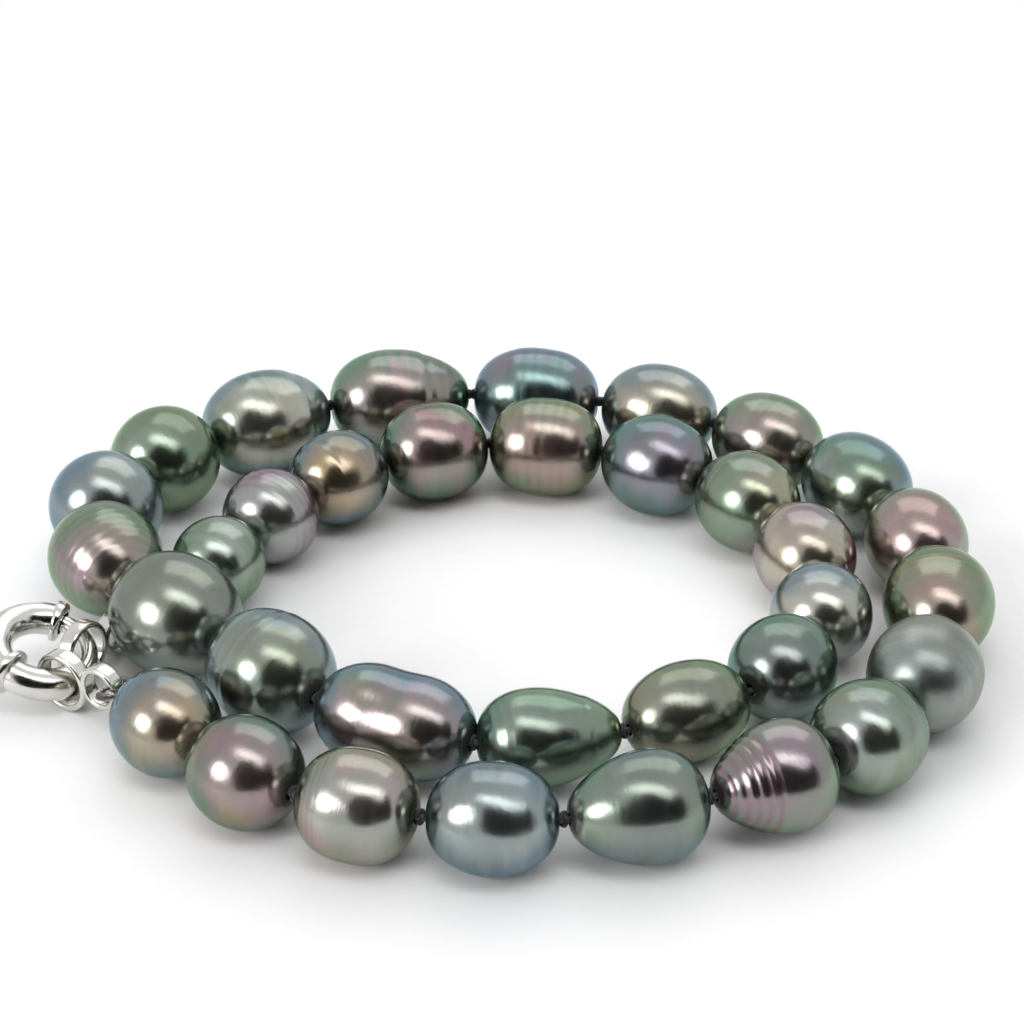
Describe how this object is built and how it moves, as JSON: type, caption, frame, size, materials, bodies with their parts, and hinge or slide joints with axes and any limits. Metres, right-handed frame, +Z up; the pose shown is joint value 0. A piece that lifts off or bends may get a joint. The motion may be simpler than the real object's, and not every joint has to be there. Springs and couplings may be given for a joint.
{
  "type": "pearl necklace",
  "caption": "Knotted single-strand necklace of dark baroque pearls, lying in a double coil and closed by a sprung ring clasp.",
  "frame": {"origin": "centre of the coil's footprint, on the surface it lies on", "axes": "+Z up; +X across the coil towards the side opposite the clasp; the clasp lies at -X, -Y, the side that is seen from in front, and the strand runs anticlockwise from it"},
  "size_m": [0.0982, 0.0898, 0.0121],
  "materials": {
    "nacre_sage": "gloss",
    "nacre_mauve": "gloss",
    "nacre_silver": "gloss",
    "nacre_teal": "gloss",
    "nacre_slate": "gloss",
    "silk": "matte",
    "silver": "polished"
  },
  "bodies": {
    "strand": {"thread_through_settled_pearls": "silk", "front_gimp_loop": "silver", "back_gimp_loop": "silver"},
    "clasp_ring": {"clasp_ring": "silver", "clasp_spring": "silver"},
    "clasp_bolt": {"clasp_bolt": "silver", "clasp_thumb_tab": "silver"},
    "front_connector": {"front_connector": "silver"},
    "back_connector": {"back_connector": "silver"},
    "link_10": {"thread_link_10": "silk"},
    "link_09": {"thread_link_09": "silk"},
    "link_08": {"thread_link_08": "silk"},
    "link_07": {"thread_link_07": "silk"},
    "link_06": {"thread_link_06": "silk"},
    "link_05": {"thread_link_05": "silk"},
    "link_04": {"thread_link_04": "silk"},
    "link_03": {"thread_link_03": "silk"},
    "link_02": {"thread_link_02": "silk"},
    "link_01": {"thread_link_01": "silk"},
    "pearl_01": {"pearl_01": "nacre_sage"},
    "pearl_02": {"pearl_02": "nacre_mauve"},
    "pearl_03": {"pearl_03": "nacre_silver"},
    "pearl_04": {"pearl_04": "nacre_teal"},
    "pearl_05": {"pearl_05": "nacre_slate"},
    "pearl_06": {"pearl_06": "nacre_sage"},
    "pearl_07": {"pearl_07": "nacre_mauve"},
    "pearl_08": {"pearl_08": "nacre_silver"},
    "pearl_09": {"pearl_09": "nacre_teal"},
    "pearl_10": {"pearl_10": "nacre_slate"},
    "pearl_11": {"pearl_11": "nacre_sage"},
    "pearl_12": {"pearl_12": "nacre_mauve"},
    "pearl_13": {"pearl_13": "nacre_silver"},
    "pearl_14": {"pearl_14": "nacre_teal"},
    "pearl_15": {"pearl_15": "nacre_slate"},
    "pearl_16": {"pearl_16": "nacre_sage"},
    "pearl_17": {"pearl_17": "nacre_mauve"},
    "pearl_18": {"pearl_18": "nacre_silver"},
    "pearl_19": {"pearl_19": "nacre_teal"},
    "pearl_20": {"pearl_20": "nacre_slate"},
    "pearl_21": {"pearl_21": "nacre_sage"},
    "pearl_22": {"pearl_22": "nacre_mauve"},
    "pearl_23": {"pearl_23": "nacre_silver"},
    "pearl_24": {"pearl_24": "nacre_teal"},
    "pearl_25": {"pearl_25": "nacre_slate"},
    "pearl_26": {"pearl_26": "nacre_sage"},
    "pearl_27": {"pearl_27": "nacre_mauve"},
    "pearl_28": {"pearl_28": "nacre_silver"},
    "pearl_29": {"pearl_29": "nacre_teal"},
    "pearl_30": {"pearl_30": "nacre_slate"},
    "pearl_31": {"pearl_31": "nacre_sage"},
    "pearl_32": {"pearl_32": "nacre_mauve"},
    "pearl_33": {"pearl_33": "nacre_silver"},
    "pearl_34": {"pearl_34": "nacre_teal"}
  },
  "joints": [
    {"name": "clasp_ring_turn", "type": "hinge", "parent": "strand", "child": "clasp_ring", "pos_m": [-0.04233, -0.01264, 0.00416], "axis": [0.2822, -0.1881, 0.9407], "range_deg": [-18, 4]},
    {"name": "clasp_bolt_slide", "type": "hinge", "parent": "clasp_ring", "child": "clasp_bolt", "pos_m": [-0.04233, -0.01264, 0.00416], "axis": [0.2822, -0.1881, 0.9407], "range_deg": [-60, 0], "stiffness_Nm_per_rad": 0.003, "springref_deg": 17.19, "deforming": ["clasp_spring"]},
    {"name": "front_connector_rock", "type": "hinge", "parent": "strand", "child": "front_connector", "pos_m": [-0.03971, -0.01587, 0.003], "axis": [-0.5524, -0.8336, 0], "range_deg": [-6, 6]},
    {"name": "back_connector_rock", "type": "hinge", "parent": "strand", "child": "back_connector", "pos_m": [-0.03898, -0.01075, 0.003], "axis": [0.8862, -0.4633, 0], "range_deg": [-6, 6]},
    {"name": "knot_10_swing", "type": "hinge", "parent": "strand", "child": "link_10", "pos_m": [0.0425, 0.0126, 0.00545], "axis": [0, 0, 1], "range_deg": [0, 36]},
    {"name": "knot_09_swing", "type": "hinge", "parent": "link_10", "child": "link_09", "pos_m": [0.04456, 0.00009, 0.00545], "axis": [0, 0, 1], "range_deg": [0, 36]},
    {"name": "knot_08_swing", "type": "hinge", "parent": "link_09", "child": "link_08", "pos_m": [0.04285, -0.01293, 0.00545], "axis": [0, 0, 1], "range_deg": [0, 36]},
    {"name": "knot_07_swing", "type": "hinge", "parent": "link_08", "child": "link_07", "pos_m": [0.03797, -0.02419, 0.00535], "axis": [0, 0, 1], "range_deg": [0, 36]},
    {"name": "knot_06_swing", "type": "hinge", "parent": "link_07", "child": "link_06", "pos_m": [0.03001, -0.03232, 0.0052], "axis": [0, 0, 1], "range_deg": [0, 36]},
    {"name": "knot_05_swing", "type": "hinge", "parent": "link_06", "child": "link_05", "pos_m": [0.01914, -0.03733, 0.00515], "axis": [0, 0, 1], "range_deg": [0, 36]},
    {"name": "knot_04_swing", "type": "hinge", "parent": "link_05", "child": "link_04", "pos_m": [0.00662, -0.04041, 0.00505], "axis": [0, 0, 1], "range_deg": [0, 36]},
    {"name": "knot_03_swing", "type": "hinge", "parent": "link_04", "child": "link_03", "pos_m": [-0.00535, -0.03993, 0.0049], "axis": [0, 0, 1], "range_deg": [0, 36]},
    {"name": "knot_02_swing", "type": "hinge", "parent": "link_03", "child": "link_02", "pos_m": [-0.0163, -0.03674, 0.005], "axis": [0, 0, 1], "range_deg": [0, 36]},
    {"name": "knot_01_swing", "type": "hinge", "parent": "link_02", "child": "link_01", "pos_m": [-0.0253, -0.0303, 0.005], "axis": [0, 0, 1], "range_deg": [0, 36]},
    {"name": "pearl_01_turn", "type": "hinge", "parent": "link_01", "child": "pearl_01", "pos_m": [-0.02874, -0.02584, 0.00492], "axis": [0.6111, -0.7914, 0.0133], "continuous": true},
    {"name": "pearl_02_turn", "type": "hinge", "parent": "link_02", "child": "pearl_02", "pos_m": [-0.0208, -0.03352, 0.005], "axis": [0.8132, -0.5819, 0], "continuous": true},
    {"name": "pearl_03_turn", "type": "hinge", "parent": "link_03", "child": "pearl_03", "pos_m": [-0.01083, -0.03834, 0.00495], "axis": [0.9601, -0.2797, -0.0088], "continuous": true},
    {"name": "pearl_04_turn", "type": "hinge", "parent": "link_04", "child": "pearl_04", "pos_m": [0.00064, -0.04017, 0.00498], "axis": [0.9991, -0.0404, 0.0125], "continuous": true},
    {"name": "pearl_05_turn", "type": "hinge", "parent": "link_05", "child": "pearl_05", "pos_m": [0.01289, -0.03887, 0.0051], "axis": [0.971, 0.2389, 0.0078], "continuous": true},
    {"name": "pearl_06_turn", "type": "hinge", "parent": "link_06", "child": "pearl_06", "pos_m": [0.02458, -0.03483, 0.00517], "axis": [0.908, 0.419, 0.0042], "continuous": true},
    {"name": "pearl_07_turn", "type": "hinge", "parent": "link_07", "child": "pearl_07", "pos_m": [0.03399, -0.02826, 0.00528], "axis": [0.6998, 0.7142, 0.0132], "continuous": true},
    {"name": "pearl_08_turn", "type": "hinge", "parent": "link_08", "child": "pearl_08", "pos_m": [0.04041, -0.01856, 0.0054], "axis": [0.3974, 0.9176, 0.0081], "continuous": true},
    {"name": "pearl_09_turn", "type": "hinge", "parent": "link_09", "child": "pearl_09", "pos_m": [0.04371, -0.00642, 0.00545], "axis": [0.1304, 0.9915, 0], "continuous": true},
    {"name": "pearl_10_turn", "type": "hinge", "parent": "link_10", "child": "pearl_10", "pos_m": [0.04353, 0.00634, 0.00545], "axis": [-0.1631, 0.9866, 0], "continuous": true},
    {"name": "pearl_11_turn", "type": "hinge", "parent": "strand", "child": "pearl_11", "pos_m": [0.03917, 0.0185, 0.00545], "axis": [-0.4902, 0.8716, 0], "continuous": true},
    {"name": "pearl_12_turn", "type": "hinge", "parent": "strand", "child": "pearl_12", "pos_m": [0.03065, 0.02869, 0.0055], "axis": [-0.7726, 0.6349, 0.0074], "continuous": true},
    {"name": "pearl_13_turn", "type": "hinge", "parent": "strand", "child": "pearl_13", "pos_m": [0.01902, 0.03564, 0.00565], "axis": [-0.9231, 0.3842, 0.0144], "continuous": true},
    {"name": "pearl_14_turn", "type": "hinge", "parent": "strand", "child": "pearl_14", "pos_m": [0.00505, 0.03923, 0.0058], "axis": [-0.9926, 0.121, 0.0066], "continuous": true},
    {"name": "pearl_15_turn", "type": "hinge", "parent": "strand", "child": "pearl_15", "pos_m": [-0.01066, 0.03866, 0.00585], "axis": [-0.9837, -0.1798, 0], "continuous": true},
    {"name": "pearl_16_turn", "type": "hinge", "parent": "strand", "child": "pearl_16", "pos_m": [-0.02535, 0.03285, 0.00585], "axis": [-0.8341, -0.5516, 0], "continuous": true},
    {"name": "pearl_17_turn", "type": "hinge", "parent": "strand", "child": "pearl_17", "pos_m": [-0.03556, 0.02349, 0.0059], "axis": [-0.5907, -0.8069, 0.008], "continuous": true},
    {"name": "pearl_18_turn", "type": "hinge", "parent": "strand", "child": "pearl_18", "pos_m": [-0.04024, 0.01265, 0.00595], "axis": [-0.1665, -0.986, 0], "continuous": true},
    {"name": "pearl_19_turn", "type": "hinge", "parent": "strand", "child": "pearl_19", "pos_m": [-0.03823, 0.00128, 0.006], "axis": [0.4732, -0.8809, 0.0079], "continuous": true},
    {"name": "pearl_20_turn", "type": "hinge", "parent": "strand", "child": "pearl_20", "pos_m": [-0.03003, -0.00919, 0.00605], "axis": [0.7285, -0.6851, 0], "continuous": true},
    {"name": "pearl_21_turn", "type": "hinge", "parent": "strand", "child": "pearl_21", "pos_m": [-0.02001, -0.01867, 0.00583], "axis": [0.7234, -0.6896, -0.0338], "continuous": true},
    {"name": "pearl_22_turn", "type": "hinge", "parent": "strand", "child": "pearl_22", "pos_m": [-0.00818, -0.02641, 0.00543], "axis": [0.9121, -0.4092, -0.0228], "continuous": true},
    {"name": "pearl_23_turn", "type": "hinge", "parent": "strand", "child": "pearl_23", "pos_m": [0.00555, -0.02823, 0.00498], "axis": [0.9803, 0.1935, -0.0401], "continuous": true},
    {"name": "pearl_24_turn", "type": "hinge", "parent": "strand", "child": "pearl_24", "pos_m": [0.01801, -0.02396, 0.00485], "axis": [0.8894, 0.4566, 0.0233], "continuous": true},
    {"name": "pearl_25_turn", "type": "hinge", "parent": "strand", "child": "pearl_25", "pos_m": [0.02747, -0.01693, 0.005], "axis": [0.675, 0.7378, 0], "continuous": true},
    {"name": "pearl_26_turn", "type": "hinge", "parent": "strand", "child": "pearl_26", "pos_m": [0.03218, -0.00748, 0.00507], "axis": [0.1784, 0.9839, 0.0137], "continuous": true},
    {"name": "pearl_27_turn", "type": "hinge", "parent": "strand", "child": "pearl_27", "pos_m": [0.03189, 0.00389, 0.00522], "axis": [-0.2064, 0.9784, 0.0122], "continuous": true},
    {"name": "pearl_28_turn", "type": "hinge", "parent": "strand", "child": "pearl_28", "pos_m": [0.02713, 0.01483, 0.00537], "axis": [-0.5769, 0.8167, 0.0124], "continuous": true},
    {"name": "pearl_29_turn", "type": "hinge", "parent": "strand", "child": "pearl_29", "pos_m": [0.01805, 0.02309, 0.00545], "axis": [-0.8609, 0.5087, 0], "continuous": true},
    {"name": "pearl_30_turn", "type": "hinge", "parent": "strand", "child": "pearl_30", "pos_m": [0.006, 0.02747, 0.00543], "axis": [-0.9863, 0.1652, -0.0038], "continuous": true},
    {"name": "pearl_31_turn", "type": "hinge", "parent": "strand", "child": "pearl_31", "pos_m": [-0.00635, 0.02644, 0.0054], "axis": [-0.9414, -0.3373, 0], "continuous": true},
    {"name": "pearl_32_turn", "type": "hinge", "parent": "strand", "child": "pearl_32", "pos_m": [-0.01641, 0.02045, 0.00528], "axis": [-0.7324, -0.6806, -0.0219], "continuous": true},
    {"name": "pearl_33_turn", "type": "hinge", "parent": "strand", "child": "pearl_33", "pos_m": [-0.02299, 0.01202, 0.00513], "axis": [-0.4661, -0.8847, -0.0049], "continuous": true},
    {"name": "pearl_34_turn", "type": "hinge", "parent": "strand", "child": "pearl_34", "pos_m": [-0.02738, 0.0028, 0.0049], "axis": [-0.392, -0.9191, -0.0393], "continuous": true}
  ]
}
